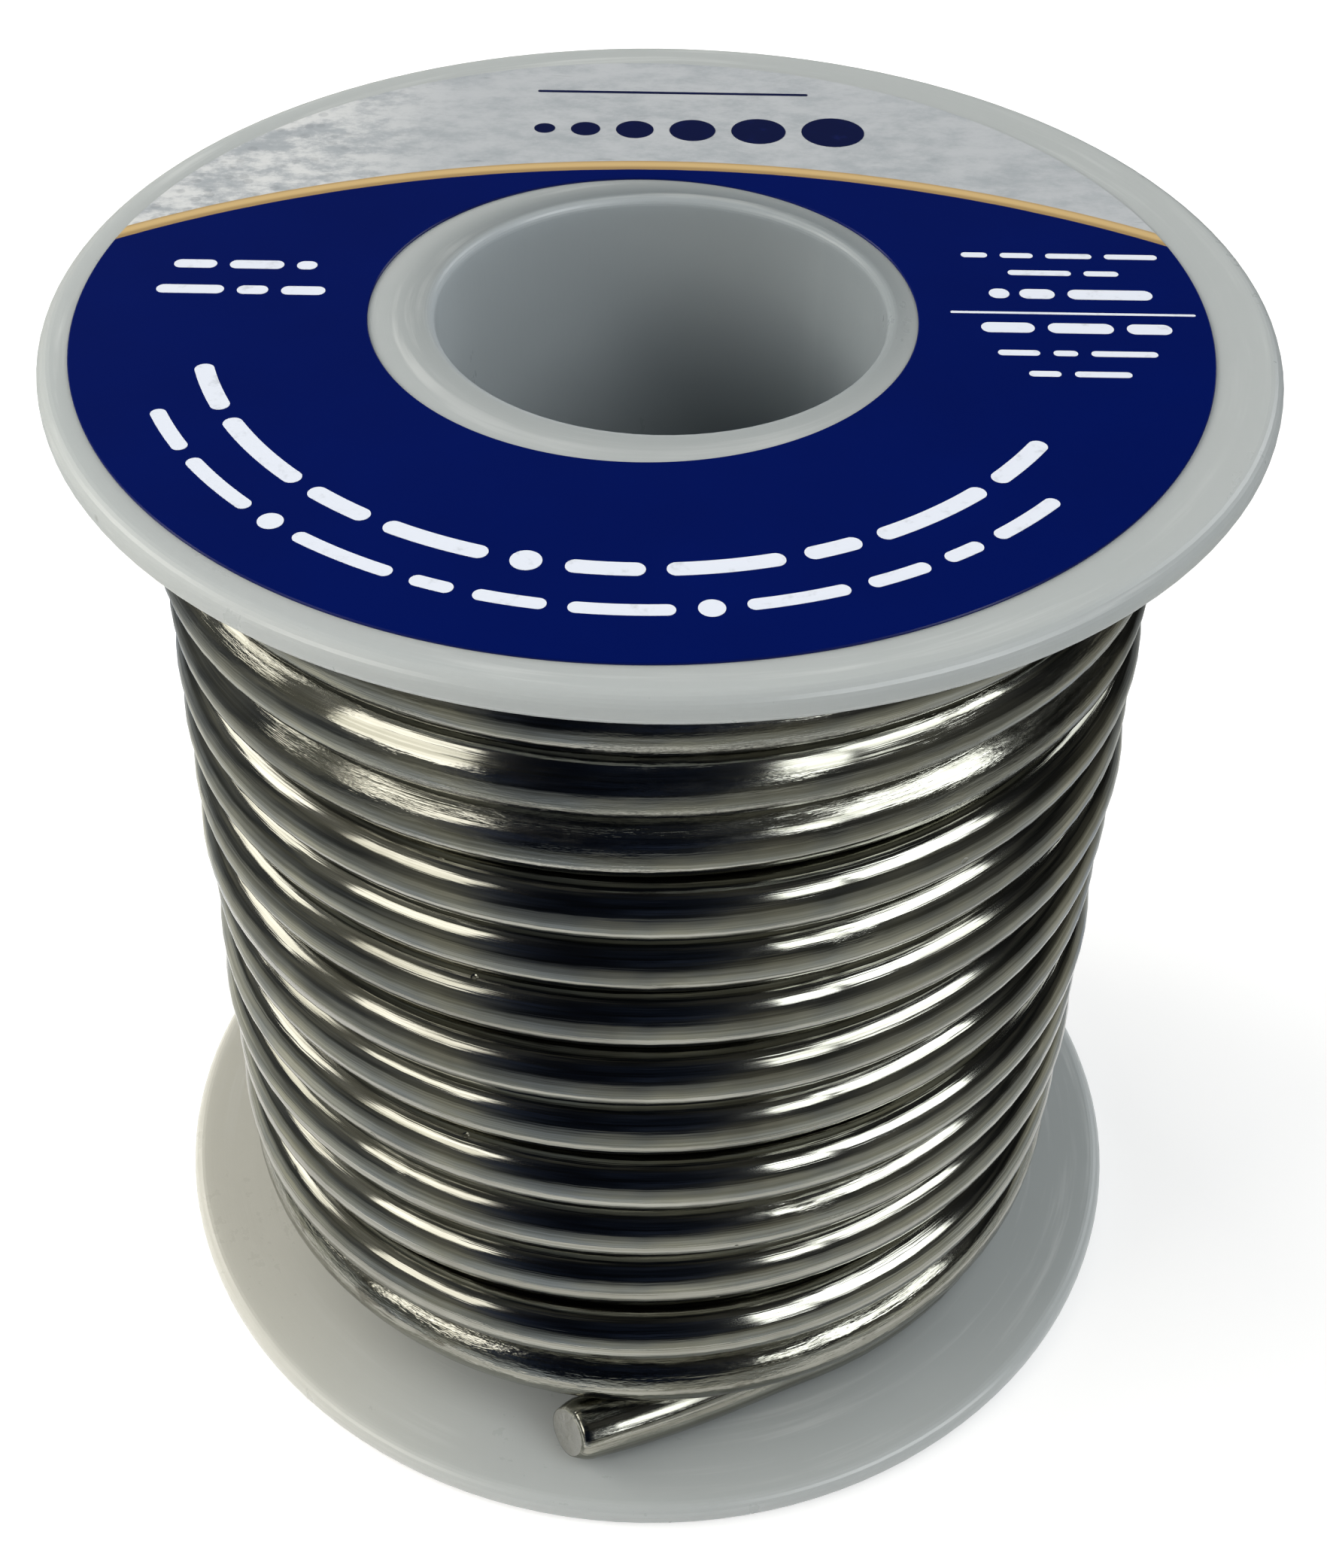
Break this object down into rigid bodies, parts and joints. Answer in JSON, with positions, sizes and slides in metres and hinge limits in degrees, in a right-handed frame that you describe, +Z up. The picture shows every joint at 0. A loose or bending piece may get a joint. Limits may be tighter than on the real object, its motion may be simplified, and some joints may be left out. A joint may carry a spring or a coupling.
{
  "type": "solder wire spool",
  "caption": "Small translucent plastic flanged spool with a wide bore, wound full with thick bright solder wire, and a ring label on its upper flange.",
  "frame": {"origin": "middle of the underside of the lower flange, on the bore's axis", "axes": "+Z up the bore's axis, from the plain lower flange to the labelled upper flange; the wire's tail lies on the -Y side and points to -X"},
  "size_m": [0.052, 0.052, 0.0538],
  "materials": {
    "spool_plastic": "natural translucent polyethylene, soft satin",
    "printed_label": "printed and varnished paper sticker",
    "solder": "bright drawn tin-lead wire, scuffed"
  },
  "bodies": {
    "root": {"upper_spool_half": "spool_plastic", "lower_spool_half": "spool_plastic", "face_label": "printed_label", "wire_inner_layers": "solder", "wire_outer_layer": "solder"}
  },
  "joints": []
}
